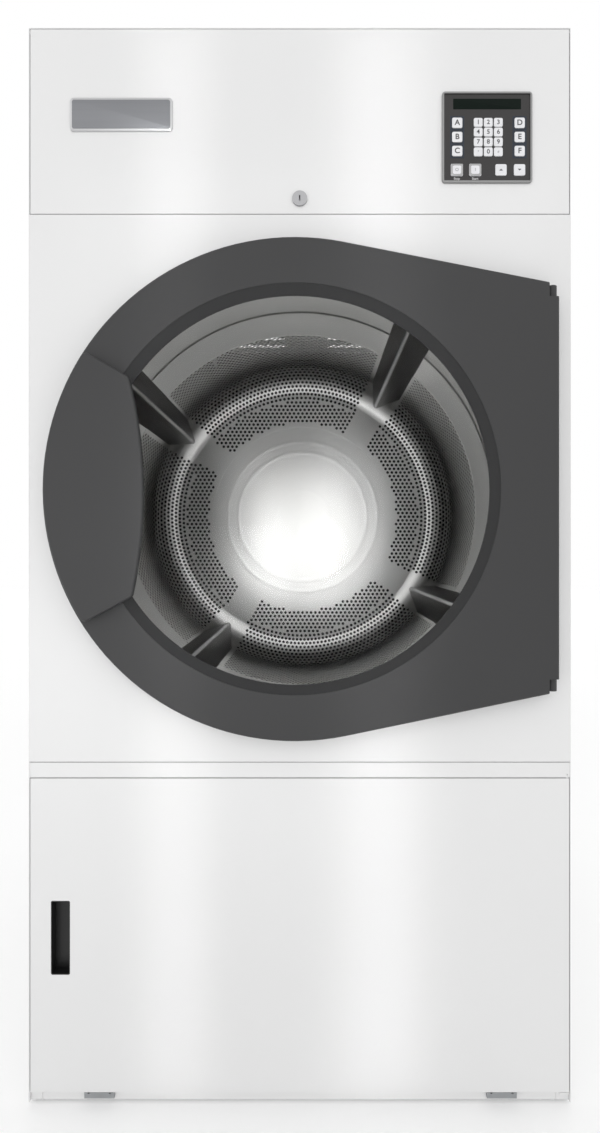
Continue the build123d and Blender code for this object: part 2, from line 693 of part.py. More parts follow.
def make_lint_drawer():
    y0 = front + drawer_front_gap
    y1 = y0 + drawer_length
    x0 = drum_x - drawer_half_width
    x1 = drum_x + drawer_half_width
    drawer = tray(x0, x1, y0, y1, drawer_bottom, drawer_bottom + drawer_height, drawer_sheet, "z1")
    grip = block(drum_x - 60, drum_x + 60, y0 - 16, y0, drawer_bottom + 26, drawer_bottom + 34)
    return drawer + fillet(grip.edges().filter_by(Axis.X), 2)


def make_screws():
    screws = []
    for side in (-1, 1):
        for k in range(6):
            z = 120 + 340 * k
            screw = rod_y(5, side * (inner_half - 7), z, rear, rear + 2.6)
            screw = fillet(screw.faces().sort_by(Axis.Y)[-1].edges(), 1.6)
            screws.append(screw)
    return screws


os.makedirs("parts", exist_ok=True)
save("base_frame", make_base_frame())
save("levelling_feet", *make_feet())
save("base_tabs", *make_tabs())
save("left_side_panel", make_side_panel(-1))
save("right_side_panel", make_side_panel(1))
save("rear_panel", make_rear_panel())
save("top_cover", make_top_cover())
save("front_panel", make_front_panel())
save("front_rail", make_front_rail())
save("control_tray", make_control_tray())
save("door_collar", make_door_collar())
save("drum_shroud", make_drum_shroud())
save("rear_bulkhead", make_rear_bulkhead())
save("bearing_housings", *make_bearing_housings())
save("drive_motor", make_motor())
save("blower_housing", make_blower_housing())
save("heater_box", make_heater_box())
save("hinge_brackets", *make_hinge_brackets())
save("door_catch", make_catch())
save("panel_screws", *make_screws())
save(
    "drive_belts",
    belt(drum_x, drum_z, drum_pulley_radius, idler_x, idler_z, idler_small_radius, drum_belt_y),
    belt(motor_x, motor_z, motor_pulley_radius, idler_x, idler_z, idler_large_radius, motor_belt_y),
)
save("door_ring", make_door_ring())
save("door_glass", make_glass())
save("door_gasket", make_gasket())
save("door_handle", make_handle())
save("drum_shell", make_drum_shell())
save("drum_ribs", *make_ribs())
save("drum_shaft", make_drum_shaft())
save("drum_pulley", pulley(drum_pulley_radius, 45, drive_shaft_radius, drum_belt_y, drum_x, drum_z))
save("idler_pulley", make_idler())
save("motor_pulley", make_motor_pulley())
save("fan_wheel", make_fan_wheel())
save("control_panel", make_control_panel())
save("keypad_housing", make_keypad_housing())
save("lock_cylinder", make_lock())
save("lower_door", make_lower_door())
save("pull_cup", make_pull_cup())
save("lint_drawer", make_lint_drawer())
for key_name, key_x, key_z, key_size in key_places():
    save(key_name, make_key(key_x, key_z, key_size))
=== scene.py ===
"""Looks of the commercial tumble dryer: drum, casing, keypad lettering, light and camera."""
import json
import math

import bmesh
import bpy
from mathutils import Matrix, Vector, geometry


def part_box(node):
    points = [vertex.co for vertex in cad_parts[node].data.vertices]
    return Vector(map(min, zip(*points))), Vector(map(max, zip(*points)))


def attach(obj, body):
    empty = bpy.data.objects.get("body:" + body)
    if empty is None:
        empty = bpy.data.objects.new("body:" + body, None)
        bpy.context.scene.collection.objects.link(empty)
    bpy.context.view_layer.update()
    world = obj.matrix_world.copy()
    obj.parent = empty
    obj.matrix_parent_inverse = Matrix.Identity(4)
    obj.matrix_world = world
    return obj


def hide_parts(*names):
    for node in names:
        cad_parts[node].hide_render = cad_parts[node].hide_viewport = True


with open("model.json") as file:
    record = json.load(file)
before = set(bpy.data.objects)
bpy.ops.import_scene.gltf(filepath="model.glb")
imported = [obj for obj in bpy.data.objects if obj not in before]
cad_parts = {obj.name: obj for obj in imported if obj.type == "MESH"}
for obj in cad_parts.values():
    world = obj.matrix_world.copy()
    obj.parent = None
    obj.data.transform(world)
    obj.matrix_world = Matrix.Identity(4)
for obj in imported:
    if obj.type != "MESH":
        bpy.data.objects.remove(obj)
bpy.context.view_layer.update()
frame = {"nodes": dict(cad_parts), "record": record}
nodes = frame["nodes"]
mm = 0.001


# ---- node helpers ---------------------------------------------------------------------------
class Shader:
    """A Principled material with short calls for the nodes that feed it."""

    def __init__(self, name, colour, roughness, metallic=0.0, **sockets):
        self.material = bpy.data.materials.new(name)
        self.material.use_nodes = True
        self.tree = self.material.node_tree
        self.shader = self.tree.nodes["Principled BSDF"]
        self.set("Base Color", (*colour, 1.0))
        self.set("Roughness", roughness)
        self.set("Metallic", metallic)
        for socket, value in sockets.items():
            self.set(socket.replace("_", " "), value)
        self.place = self.tree.nodes.new("ShaderNodeTexCoord").outputs["Object"]
        self.bump = None

    def set(self, socket, value):
        self.shader.inputs[socket].default_value = value

    def link(self, output, socket):
        self.tree.links.new(output, socket)
        return self

    def math(self, operation, a, b=0.0):
        node = self.tree.nodes.new("ShaderNodeMath")
        node.operation = operation
        for value, socket in zip((a, b), node.inputs):
            if isinstance(value, (int, float)):
                socket.default_value = value
            else:
                self.link(value, socket)
        return node.outputs[0]

    def scaled(self, stretch, place=None):
        node = self.tree.nodes.new("ShaderNodeMapping")
        node.inputs["Scale"].default_value = stretch
        self.link(place or self.place, node.inputs["Vector"])
        return node.outputs[0]

    def noise(self, scale, detail=3.0, stretch=(1, 1, 1), place=None):
        node = self.tree.nodes.new("ShaderNodeTexNoise")
        node.inputs["Scale"].default_value = scale
        node.inputs["Detail"].default_value = detail
        self.link(self.scaled(stretch, place), node.inputs["Vector"])
        return node.outputs["Fac"]

    def blend(self, factor, low, high):
        """A colour between low and high, as the factor goes from 0 to 1."""
        node = self.tree.nodes.new("ShaderNodeMix")
        node.data_type = "RGBA"
        self.link(factor, node.inputs["Factor"])
        for value, socket in ((low, node.inputs["A"]), (high, node.inputs["B"])):
            if isinstance(value, tuple):
                socket.default_value = (*value, 1.0)
            else:
                self.link(value, socket)
        return node.outputs["Result"]

    def between(self, factor, low, high):
        node = self.tree.nodes.new("ShaderNodeMapRange")
        node.inputs["To Min"].default_value = low
        node.inputs["To Max"].default_value = high
        self.link(factor, node.inputs["Value"])
        return node.outputs["Result"]

    def feed(self, socket, output):
        self.link(output, self.shader.inputs[socket])
        return self

    def relief(self, height, depth, strength=1.0):
        node = self.tree.nodes.new("ShaderNodeBump")
        node.inputs["Distance"].default_value = depth
        node.inputs["Strength"].default_value = strength
        self.link(height, node.inputs["Height"])
        if self.bump:
            self.link(self.bump, node.inputs["Normal"])
        self.bump = node.outputs["Normal"]
        return self.feed("Normal", self.bump)

    def axes(self):
        node = self.tree.nodes.new("ShaderNodeSeparateXYZ")
        self.link(self.place, node.inputs[0])
        return node.outputs["X"], node.outputs["Y"], node.outputs["Z"]

    def inside(self, coordinate, middle, half):
        """1 where the coordinate is within half of middle, else 0."""
        distance = self.math("ABSOLUTE", self.math("SUBTRACT", coordinate, middle))
        return self.math("LESS_THAN", distance, half)


def shade(colour, amount):
    """The colour made lighter or darker, and never past white."""
    return tuple(min(1, c * amount) for c in colour)


def painted(name, colour, roughness, coat=0.0, specular=0.5):
    """Sprayed enamel with a faint orange-peel surface and slow tone changes."""
    s = Shader(name, colour, roughness, Coat_Weight=coat, Coat_Roughness=0.12, Specular_IOR_Level=specular)
    s.feed("Base Color", s.blend(s.noise(3.0, 2.0), shade(colour, 0.975), shade(colour, 1.015)))
    s.feed("Roughness", s.between(s.noise(14.0, 4.0), roughness * 0.85, roughness * 1.15))
    s.relief(s.noise(420.0, 2.0), 0.00003, 0.5)
    return s.material


def moulded(name, colour, roughness):
    """Fine-grained moulded plastic or rubber."""
    s = Shader(name, colour, roughness)
    s.feed("Base Color", s.blend(s.noise(60.0), shade(colour, 0.9), shade(colour, 1.1)))
    s.relief(s.noise(2600.0, 2.0), 0.00004, 0.5)
    return s.material


def brushed(name, colour, roughness, stretch):
    """Brushed metal, with its grain drawn out along any axis stretched by less than 1."""
    s = Shader(name, colour, roughness, 1.0)
    grain = s.noise(260.0, 4.0, stretch)
    s.feed("Roughness", s.between(grain, roughness * 0.76, roughness * 1.24))
    s.feed("Base Color", s.blend(s.noise(5.0), shade(colour, 0.9), shade(colour, 1.06)))
    s.relief(grain, 0.00002, 0.35)
    return s.material


def zinc(name, colour):
    """Galvanised sheet with its crystal pattern."""
    s = Shader(name, colour, 0.42, 1.0)
    cells = s.tree.nodes.new("ShaderNodeTexVoronoi")
    cells.inputs["Scale"].default_value = 70.0
    s.link(s.place, cells.inputs["Vector"])
    crystal = s.tree.nodes.new("ShaderNodeSeparateColor")
    s.link(cells.outputs["Color"], crystal.inputs[0])
    s.feed("Base Color", s.blend(crystal.outputs[0], shade(colour, 0.82), shade(colour, 1.1)))
    s.feed("Roughness", s.between(crystal.outputs[1], 0.34, 0.5))
    return s.material


def cast(name, colour):
    """Coarse, half-metallic surface of a casting, or of heat-dulled sheet; with a near-black colour it is
    painted shade.
    """
    s = Shader(name, colour, 0.55, 0.6)
    s.feed("Base Color", s.blend(s.noise(25.0), shade(colour, 0.8), shade(colour, 1.2)))
    s.relief(s.noise(700.0), 0.00015, 0.6)
    return s.material


white = painted("white_enamel", (0.80, 0.80, 0.80), 0.24, coat=0.4)
grey = painted("door_grey_enamel", (0.050, 0.050, 0.051), 0.46, specular=0.25)
steel = brushed("stainless", (0.60, 0.60, 0.60), 0.30, (1, 0.02, 1))
galvanised = zinc("galvanised_sheet", (0.55, 0.57, 0.58))
# Near-black sheet for the drum shroud and rear bulkhead: a little heat dulling, mostly painted shade for the
# dark seen through the drum's holes.
heat_dulled_and_shade_dark = cast("heat_dulled_sheet_painted_shade", (0.03, 0.03, 0.03))
iron = cast("grey_iron", (0.22, 0.22, 0.23))
oiled = brushed("oiled_steel", (0.34, 0.34, 0.35), 0.34, (1, 1, 0.05))
lock_metal = brushed("lock_metal", (0.40, 0.40, 0.41), 0.32, (1, 1, 1))
motor_enamel = painted("motor_enamel", (0.05, 0.055, 0.06), 0.4)
rubber = moulded("black_rubber", (0.018, 0.018, 0.018), 0.6)
black_plastic = moulded("black_plastic", (0.008, 0.008, 0.008), 0.45)
tab_plastic = moulded("grey_plastic", (0.30, 0.31, 0.32), 0.5)
key_plastic = moulded("key_white", (0.80, 0.80, 0.82), 0.35)
ink = moulded("printed_ink", (0.03, 0.03, 0.035), 0.5)
pale_ink = moulded("pale_printed_ink", (0.6, 0.6, 0.6), 0.5)


def make_glass():
    """Thin clear glass: a low IOR keeps what is behind it in place."""
    s = Shader("door_glass", (0.98, 0.98, 0.98), 0.02, Transmission_Weight=1.0, IOR=1.12)
    s.feed("Roughness", s.between(s.noise(8.0, 4.0), 0.0, 0.03))
    return s.material


def make_keypad_material():
    """Silver bezel round a dark printed face, split where the face begins."""
    low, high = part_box("keypad_housing")
    middle = (low + high) / 2
    border = 3.7 * mm
    silver = (0.30, 0.30, 0.30)
    metallic = 0.7
    face = (0.021, 0.019, 0.019)
    s = Shader("keypad_housing", face, 0.42)
    x, _, z = s.axes()
    on_face = s.math(
        "MULTIPLY",
        s.inside(x, middle.x, (high.x - low.x) / 2 - border),
        s.inside(z, middle.z, (high.z - low.z) / 2 - border),
    )
    printed = s.blend(s.noise(40.0), face, shade(face, 1.15))
    s.feed("Base Color", s.blend(on_face, silver, printed))
    s.feed("Metallic", s.math("SUBTRACT", metallic, s.math("MULTIPLY", on_face, metallic)))
    s.feed("Roughness", s.between(s.noise(300.0), 0.34, 0.46))
    s.relief(s.noise(1800.0), 0.00003, 0.4)
    return s.material


slot_materials = {
    "white_paint": white,
    "door_grey": grey,
    "hinge_grey": grey,
    "door_glass": make_glass(),
    "stainless": steel,
    "galvanised": galvanised,
    "cast_grey": iron,
    "dark_steel": oiled,
    "motor_paint": motor_enamel,
    "black_rubber": rubber,
    "grey_plastic": tab_plastic,
    "keypad_grey": make_keypad_material(),
    "black_plastic": black_plastic,
    "key_white": key_plastic,
    "key_blue": key_plastic,
    "key_silver": key_plastic,
    "chrome": lock_metal,
}
slot_of = {part["node"]: part["material_slot"] for part in frame["record"]["subparts"]}


def dress(piece, material):
    piece.data.materials.clear()
    piece.data.materials.append(material)


def soften(piece, width):
    """Welds the sheet's split corners and rounds its edges."""
    weld = piece.modifiers.new("weld", "WELD")
    weld.merge_threshold = 0.00002
    bevel = piece.modifiers.new("bevel", "BEVEL")
    bevel.width = width
    bevel.segments = 2
    bevel.limit_method = "ANGLE"
    bevel.angle_limit = math.radians(35)
    bevel.harden_normals = False


for node_name, part in nodes.items():
    dress(part, slot_materials[slot_of[node_name]])
# Lifter steel darker than the drum sheet: the darkness is painted shade on the lifters' faces.
shade_darkened_rib_steel = brushed("lifter_steel_painted_shade", (0.30, 0.30, 0.30), 0.34, (1, 0.02, 1))
dress(nodes["drum_ribs"], shade_darkened_rib_steel)
# The shroud and bulkhead behind the drum take the near-black sheet, painted shade seen through the drum's
# holes.
for shade_backing_node in ("drum_shroud", "rear_bulkhead"):
    dress(nodes[shade_backing_node], heat_dulled_and_shade_dark)


# ---- piece helpers --------------------------------------------------------------------------
def new_piece(name, vertices, faces, material, body):
    """A mesh that rides on a body and takes the given material."""
    mesh = bpy.data.meshes.new(name)
    mesh.from_pydata([tuple(v) for v in vertices], [], faces)
    mesh.validate()
    piece = bpy.data.objects.new(name, mesh)
    bpy.context.scene.collection.objects.link(piece)
    mesh.materials.append(material)
    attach(piece, body)
    return piece


def tube_faces(rings, count, closed=True):
    """Four-sided faces between rings of count points each, and back to the first ring if closed."""
    faces = []
    for ring in range(rings if closed else rings - 1):
        after = (ring + 1) % rings
        for k in range(count):
            right = (k + 1) % count
            faces.append((ring * count + k, ring * count + right, after * count + right, after * count + k))
    return faces


def smooth(piece, angle=35):
    """Smooth shading, with the edges sharper than the angle kept sharp."""
    work = bmesh.new()
    work.from_mesh(piece.data)
    bmesh.ops.recalc_face_normals(work, faces=work.faces)
    for face in work.faces:
        face.smooth = True
    for edge in work.edges:
        if len(edge.link_faces) != 2 or edge.calc_face_angle(0) > math.radians(angle):
            edge.smooth = False
    work.to_mesh(piece.data)
    work.free()


def lettering(name, text, size, centre, material, body):
    """Printed text 0.06 mm thick, facing the front and centred on a point."""
    curve = bpy.data.curves.new(name, "FONT")
    curve.body = text
    curve.size = size
    curve.align_x = "CENTER"
    curve.align_y = "CENTER"
    curve.extrude = 0.03 * mm
    curve.offset = 0.018 * size
    holder = bpy.data.objects.new(name + "_curve", curve)
    bpy.context.scene.collection.objects.link(holder)
    bpy.context.view_layer.update()
    mesh = bpy.data.meshes.new_from_object(holder.evaluated_get(bpy.context.evaluated_depsgraph_get()))
    bpy.data.objects.remove(holder)
    mesh.transform(Matrix.Translation(centre) @ Matrix.Rotation(math.radians(90), 4, "X"))
    piece = bpy.data.objects.new(name, mesh)
    bpy.context.scene.collection.objects.link(piece)
    dress(piece, material)
    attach(piece, body)
    return piece


def make_world():
    """A white studio, dimmer overhead, at the sides and where the drum's back would mirror it.

    The camera itself sees plain white behind the object.
    """
    world = bpy.data.worlds.new("studio")
    world.use_nodes = True
    tree = world.node_tree
    background = tree.nodes["Background"]
    background.inputs["Color"].default_value = (1, 1, 1, 1)
    place = tree.nodes.new("ShaderNodeTexCoord")
    axes = tree.nodes.new("ShaderNodeSeparateXYZ")
    tree.links.new(place.outputs["Generated"], axes.inputs[0])

    def ramp(value, start, end, low, high):
        node = tree.nodes.new("ShaderNodeMapRange")
        node.interpolation_type = "SMOOTHSTEP"
        for socket, level in (("From Min", start), ("From Max", end), ("To Min", low), ("To Max", high)):
            node.inputs[socket].default_value = level
        tree.links.new(value, node.inputs["Value"])
        return node.outputs["Result"]

    def combine(operation, *values):
        node = tree.nodes.new("ShaderNodeMath")
        node.operation = operation
        for value, socket in zip(values, node.inputs):
            tree.links.new(value, socket)
        return node.outputs[0]

    # in front: dim inside a cone of 22 degrees, full strength outside 52 degrees
    ahead = ramp(axes.outputs["Y"], -math.cos(math.radians(22)), -math.cos(math.radians(52)), 0.68, 1.22)
    sideways = combine("ABSOLUTE", axes.outputs["X"])
    aside = ramp(combine("MAXIMUM", sideways, axes.outputs["Z"]), 0.55, 0.95, 1.0, 0.62)
    seen = tree.nodes.new("ShaderNodeLightPath")
    pick = tree.nodes.new("ShaderNodeMix")
    pick.inputs["B"].default_value = 1.0
    tree.links.new(seen.outputs["Is Camera Ray"], pick.inputs["Factor"])
    tree.links.new(combine("MULTIPLY", ahead, aside), pick.inputs["A"])
    tree.links.new(pick.outputs["Result"], background.inputs["Strength"])
    bpy.context.scene.world = world


def softbox(name, place, aim, width, height, power, spread=180):
    """A rectangular lamp of the given size, turned towards a point."""
    light = bpy.data.lights.new(name, "AREA")
    light.shape = "RECTANGLE"
    light.size = width
    light.size_y = height
    light.energy = power
    light.spread = math.radians(spread)
    lamp = bpy.data.objects.new(name, light)
    lamp.location = place
    lamp.rotation_mode = "QUATERNION"
    lamp.rotation_quaternion = (Vector(aim) - Vector(place)).to_track_quat("-Z", "Y")
    bpy.context.scene.collection.objects.link(lamp)


def finish_camera_and_light():
    """The camera straight on, close enough to look deep into the drum, and a soft studio."""
    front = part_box("front_panel")[0].y
    distance = 1.10
    side_step = 0.022
    height = 1.001
    view_middle = Vector((0.0005, front, 0.971))
    view_height = 2.044
    sensor = 36.0
    camera_data = bpy.data.cameras.new("camera")
    camera_data.sensor_width = sensor
    camera_data.lens = sensor * distance / view_height
    camera_data.shift_x = (view_middle.x - side_step) / view_height
    camera_data.shift_y = (view_middle.z - height) / view_height
    camera = bpy.data.objects.new("camera", camera_data)
    camera.location = (side_step, front - distance, height)
    camera.rotation_euler = (math.radians(90), 0, 0)
    camera_data.clip_start = 0.05
    bpy.context.scene.collection.objects.link(camera)
    bpy.context.scene.camera = camera

    make_world()
    bpy.context.scene.view_settings.view_transform = "Standard"

    softbox("drum_light", (-0.36, -2.0, 1.0), (-0.36, 0, 1.0), 1.35, 0.80, 0.40, 46)
    softbox("drum_spot", (-0.29, -2.02, 0.90), (-0.18, 0.2, 0.96), 0.45, 0.40, 0.08, 46)
    softbox("left_band", (-0.225, -2.4, 0.97), (-0.225, 0, 0.97), 0.05, 2.0, 0.10, 7)
    softbox("right_band", (0.145, -2.4, 0.97), (0.145, 0, 0.97), 0.13, 2.0, 0.16, 7)
    softbox("front_fill", (0, -3.6, 2.6), (0, 0, 1.1), 3.0, 1.6, 12)


def make_floor():
    """A pale floor that glows faintly, so that it meets the white background."""
    size = 14.0
    piece = bpy.data.meshes.new("floor")
    corners = [(-size, -size, 0), (size, -size, 0), (size, size, 0), (-size, size, 0)]
    piece.from_pydata(corners, [], [(0, 1, 2, 3)])
    floor = bpy.data.objects.new("floor", piece)
    bpy.context.scene.collection.objects.link(floor)
    s = Shader("pale_floor", (0.86, 0.86, 0.86), 0.6)
    s.feed("Base Color", s.blend(s.noise(1.5), (0.90, 0.90, 0.90), (0.93, 0.93, 0.93)))
    s.set("Emission Color", (1, 1, 1, 1))
    s.set("Emission Strength", 0.13)
    piece.materials.append(s.material)


# ---- drum -----------------------------------------------------------------------------------
shell_low, shell_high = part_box("drum_shell")
drum_centre = (shell_low + shell_high) / 2
drum_outer = (shell_high.x - shell_low.x) / 2
drum_sheet = 1.5 * mm
drum_inner = drum_outer - drum_sheet
drum_back = shell_high.y - drum_sheet
corner_radius = 77 * mm
flat_radius = drum_inner - corner_radius
rib_turns = [math.radians(56 + 90 * k) for k in range(4)]
sheet_thickness = 1.2 * mm
hole_radius = 4.9 * mm
hole_free_half = 60 * mm   # smooth strip along each lifter, to either side of it
cells_round = 208
corner_rows = 10
wall_rows = 21
cell_pitch = 2 * math.pi * drum_inner / cells_round
row_pitch = cell_pitch * math.sqrt(3) / 2


def meridian(distance):
    """Radius and y of the drum's inside, at a length outwards and forwards from the flat back's edge."""
    quarter = corner_radius * math.pi / 2
    if distance <= quarter:
        turn = distance / corner_radius
        return flat_radius + corner_radius * math.sin(turn), drum_back - corner_radius * (1 - math.cos(turn))
    return drum_inner, drum_back - corner_radius - (distance - quarter)


def near_rib(angle):
    """True within the smooth strip along one of the lifters."""
    gaps = [(angle - turn + math.pi) % (2 * math.pi) - math.pi for turn in rib_turns]
    return min(abs(gap) for gap in gaps) * drum_inner < hole_free_half


def place_on_drum(angle, radius, y):
    return (drum_centre.x + radius * math.cos(angle), y, drum_centre.z + radius * math.sin(angle))


def give_thickness(piece):
    thicken = piece.modifiers.new("sheet", "SOLIDIFY")
    thicken.thickness = sheet_thickness
    thicken.offset = -1


def perforated_band(name, first_row, rows):
    """A band of the drum wall with a six-sided hole in each cell that no lifter covers."""
    half_cells = 2 * cells_round
    vertices = []
    faces = []
    for row in range(rows + 1):
        radius, y = meridian((first_row + row) * row_pitch)
        for k in range(half_cells):
            vertices.append(place_on_drum(k * math.pi / cells_round, radius, y))
    for row in range(rows):
        middle = (first_row + row + 0.5) * row_pitch
        mid_radius = meridian(middle)[0]
        for cell in range(cells_round):
            start = 2 * cell + (first_row + row) % 2
            below = [row * half_cells + (start + k) % half_cells for k in range(3)]
            above = [(row + 1) * half_cells + (start + k) % half_cells for k in range(3)]
            outline = [below[0], below[1], below[2], above[2], above[1], above[0]]
            angle = (start + 1) * math.pi / cells_round
            if near_rib(angle):
                faces.append(outline)
                continue
            hole = []
            for corner in (210, 270, 330, 30, 90, 150):
                turn = math.radians(corner)
                radius, y = meridian(middle + hole_radius * math.sin(turn))
                vertices.append(place_on_drum(angle + hole_radius * math.cos(turn) / mid_radius, radius, y))
                hole.append(len(vertices) - 1)
            for k in range(6):
                after = (k + 1) % 6
                faces.append((outline[k], outline[after], hole[after], hole[k]))
    piece = new_piece(name, vertices, faces, drum_steel, "drum")
    smooth(piece)
    give_thickness(piece)


def turned_piece(name, profile, steps):
    """A closed profile of radius and y pairs turned about the drum's axis."""
    turns = [2 * math.pi * k / steps for k in range(steps)]
    vertices = [place_on_drum(turn, radius, y) for radius, y in profile for turn in turns]
    piece = new_piece(name, vertices, tube_faces(len(profile), steps), drum_steel, "drum")
    smooth(piece)
    return piece


def make_drum_steel():
    """Stainless drum sheet, brushed round the drum's axis."""
    s = Shader("drum_steel", (0.58, 0.58, 0.575), 0.28, 1.0)
    x, y, z = s.axes()
    across = s.math("SUBTRACT", x, drum_centre.x)
    up = s.math("SUBTRACT", z, drum_centre.z)
    squares = s.math("ADD", s.math("MULTIPLY", across, across), s.math("MULTIPLY", up, up))
    rings = s.tree.nodes.new("ShaderNodeCombineXYZ")
    s.link(s.math("SQRT", squares), rings.inputs[0])
    s.link(y, rings.inputs[1])
    grain = s.noise(900.0, 4.0, place=rings.outputs[0])
    s.feed("Roughness", s.between(grain, 0.26, 0.36))
    s.feed("Base Color", s.blend(s.noise(4.0), (0.50, 0.50, 0.49), (0.63, 0.63, 0.62)))
    s.relief(grain, 0.00002, 0.4)
    return s.material


drum_steel = make_drum_steel()


core_steps = 104
ring_inner = 300 * mm      # where the perforated sectors of the back begin
core_radius = ring_inner - 14 * mm


def back_holes(pitch, rim_radius):
    """Hole centres on the flat back: a round row at the rim and straight rows inside it."""
    strip_half = 42 * mm
    rim_clear = 11.2 * mm
    row_step = pitch * math.sqrt(3) / 2

    def clear_of_strips(angle, radius):
        ahead = [turn for turn in rib_turns if math.cos(angle - turn) > 0]
        return min(radius * abs(math.sin(angle - turn)) for turn in ahead) > strip_half

    holes = []
    rim_cells = int(2 * math.pi * rim_radius / pitch)
    for k in range(rim_cells):
        angle = 2 * math.pi * k / rim_cells
        if clear_of_strips(angle, rim_radius):
            holes.append((rim_radius * math.cos(angle), rim_radius * math.sin(angle)))
    reach = int(flat_radius / row_step) + 2
    for row in range(-reach, reach + 1):
        for column in range(-reach, reach + 1):
            x = (column + 0.5 * (row % 2)) * pitch
            z = row * row_step
            radius = math.hypot(x, z)
            if ring_inner < radius < rim_radius - rim_clear and clear_of_strips(math.atan2(z, x), radius):
                holes.append((x, z))
    return holes


def make_drum_back_ring():
    """The outer part of the flat back, triangulated round its holes."""
    pitch = 13.6 * mm
    points = []
    edges = []

    def loop(count, radius, place=(0.0, 0.0), turn=0.0):
        first = len(points)
        for k in range(count):
            angle = turn + 2 * math.pi * k / count
            points.append(Vector((place[0] + radius * math.cos(angle), place[1] + radius * math.sin(angle))))
        edges.extend((first + k, first + (k + 1) % count) for k in range(count))

    loop(2 * cells_round, flat_radius)
    loop(core_steps, core_radius)
    holes = back_holes(pitch, flat_radius - 6.6 * mm)
    hole_grid = {}
    for x, z in holes:
        loop(6, hole_radius, (x, z), math.radians(30))
        hole_grid.setdefault((round(x / pitch), round(z / pitch)), []).append((x, z))
    found, _, triangles, _, _, _ = geometry.delaunay_2d_cdt(points, edges, [], 0, 1e-7)

    def kept(triangle):
        middle = sum((found[k] for k in triangle), Vector((0, 0))) / len(triangle)
        if middle.length < core_radius - 0.2 * mm:
            return False
        column, row = round(middle.x / pitch), round(middle.y / pitch)
        near = [(column + across, row + up) for across in (-1, 0, 1) for up in (-1, 0, 1)]
        centres = [place for cell in near for place in hole_grid.get(cell, [])]
        return all(math.hypot(middle.x - x, middle.y - z) >= hole_radius * 0.8 for x, z in centres)

    faces = [tuple(t) for t in triangles if kept(t)]
    vertices = [(drum_centre.x + p.x, drum_back, drum_centre.z + p.y) for p in found]
    piece = new_piece("drum_back_ring", vertices, faces, drum_steel, "drum")
    work = bmesh.new()
    work.from_mesh(piece.data)
    bmesh.ops.delete(work, geom=[v for v in work.verts if not v.link_faces], context="VERTS")
    bmesh.ops.recalc_face_normals(work, faces=work.faces)
    work.to_mesh(piece.data)
    work.free()
    give_thickness(piece)


def make_drum_back_middle():
    """The smooth middle of the flat back, with three shallow pressed rings."""
    depth = 0.13 * mm
    half_width = 10 * mm
    flat_half = 12 * mm
    centre_gap = 0.4 * mm
    steps = 8
    profile = [(centre_gap, drum_back)]
    for ring in (85 * mm, 205 * mm, 240 * mm):
        profile.append((ring - flat_half, drum_back))
        for k in range(steps + 1):
            share = k / steps
            lift = depth * math.sin(math.pi * share) ** 2
            profile.append((ring - half_width + 2 * half_width * share, drum_back - lift))
        profile.append((ring + flat_half, drum_back))
    profile += [
        (core_radius, drum_back), (core_radius, drum_back + sheet_thickness),
        (centre_gap, drum_back + sheet_thickness),
    ]
    turned_piece("drum_back_middle", profile, core_steps)


def make_drum_front():
    """The plain front band with its rolled bead and turned-in lip."""
    start_y = meridian((corner_rows + wall_rows) * row_pitch)[1]
    bead_y = shell_low.y + 275 * mm
    bead_half = 8 * mm
    bead_height = 2.2 * mm
    steps = 12
    lip = 22 * mm
    lip_y = shell_low.y + drum_sheet
    profile = [(drum_inner, start_y)]
    for k in range(steps + 1):
        share = k / steps
        lift = bead_height * math.sin(math.pi * share) ** 2
        profile.append((drum_inner - lift, bead_y + bead_half - 2 * bead_half * share))
    profile += [
        (drum_inner, shell_low.y + 6 * mm), (drum_inner - 2 * mm, lip_y), (drum_inner - lip, lip_y),
        (drum_inner - lip, shell_low.y), (drum_outer, shell_low.y), (drum_outer, start_y),
    ]
    return turned_piece("drum_front_band", profile, 2 * cells_round)


perforated_band("drum_corner_sheet", 0, corner_rows)
perforated_band("drum_wall_sheet", corner_rows, wall_rows)
make_drum_back_ring()
make_drum_back_middle()
front = make_drum_front()
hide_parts("drum_shell")


# ---- keypad ---------------------------------------------------------------------------------
keypad_low, keypad_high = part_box("keypad_housing")
keypad_face = keypad_low.y + 1.5 * mm
faint_ink = moulded("faint_printed_ink", (0.35, 0.35, 0.36), 0.5)
blue_ink = moulded("dark_blue_printed_ink", (0.010, 0.017, 0.032), 0.45)
key_frame = brushed("key_frame_metal", (0.42, 0.42, 0.42), 0.35, (1, 1, 1))


def rounded_outline(half_x, half_z, corner, steps, inset=0.0):
    """Points once round a rounded rectangle, moved in by the inset."""
    points = []
    for quarter in range(4):
        side_x = half_x - corner if quarter in (0, 3) else corner - half_x
        side_z = half_z - corner if quarter in (0, 1) else corner - half_z
        for k in range(steps):
            turn = math.radians(90 * quarter + 90 * k / (steps - 1))
            radius = corner - inset
            points.append((side_x + radius * math.cos(turn), side_z + radius * math.sin(turn)))
    return points


def flat_frame(name, centre, half, hole_half, corner, height, material, body):
    """A rounded square frame standing a little way off the face behind it."""
    rings = (
        (half, centre.y), (half, centre.y - height * 0.6), (half - height * 0.4, centre.y - height),
        (hole_half + height * 0.4, centre.y - height), (hole_half, centre.y - height * 0.6),
        (hole_half, centre.y),
    )
    vertices = []
    for ring_half, y in rings:
        outline = rounded_outline(ring_half, ring_half, corner * ring_half / half, 5)
        vertices += [(centre.x + x, y, centre.z + z) for x, z in outline]
    faces = tube_faces(len(rings), len(vertices) // len(rings))
    smooth(new_piece(name, vertices, faces, material, body), 50)


